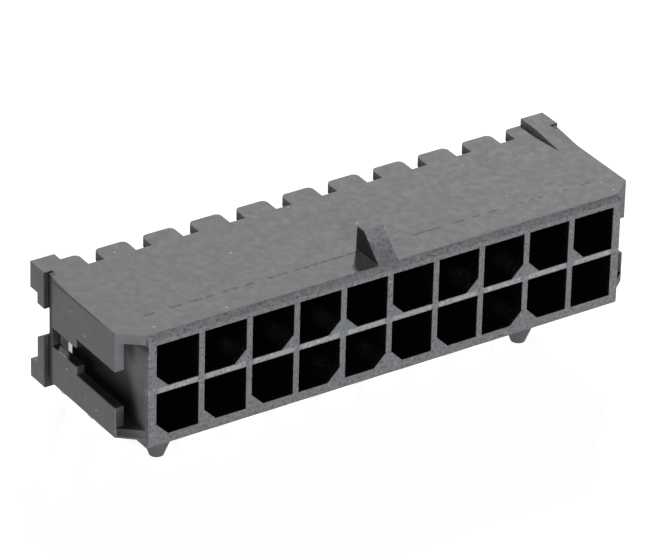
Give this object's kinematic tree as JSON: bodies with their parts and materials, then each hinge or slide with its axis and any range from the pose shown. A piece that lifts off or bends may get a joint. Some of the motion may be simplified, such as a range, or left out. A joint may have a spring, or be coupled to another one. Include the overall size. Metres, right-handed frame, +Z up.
{
  "type": "right-angle pin header",
  "caption": "Right-angle board header with a dark keyed housing, square cavities in two rows, a latch ramp, locating pegs and bent solder tails.",
  "frame": {"origin": "point on the board plane midway between the two locating pegs", "axes": "+X along the rows, +Y from the mating face to the solder tails, +Z up from the board"},
  "size_m": [0.0336, 0.0122, 0.012],
  "materials": {
    "housing_plastic": "matte",
    "plated_wire": "satin"
  },
  "bodies": {
    "root": {"housing": "housing_plastic", "upper_pin_01": "plated_wire", "upper_pin_02": "plated_wire", "upper_pin_03": "plated_wire", "upper_pin_04": "plated_wire", "upper_pin_05": "plated_wire", "upper_pin_06": "plated_wire", "upper_pin_07": "plated_wire", "upper_pin_08": "plated_wire", "upper_pin_09": "plated_wire", "upper_pin_10": "plated_wire", "lower_pin_01": "plated_wire", "lower_pin_02": "plated_wire", "lower_pin_03": "plated_wire", "lower_pin_04": "plated_wire", "lower_pin_05": "plated_wire", "lower_pin_06": "plated_wire", "lower_pin_07": "plated_wire", "lower_pin_08": "plated_wire", "lower_pin_09": "plated_wire", "lower_pin_10": "plated_wire"}
  },
  "joints": []
}
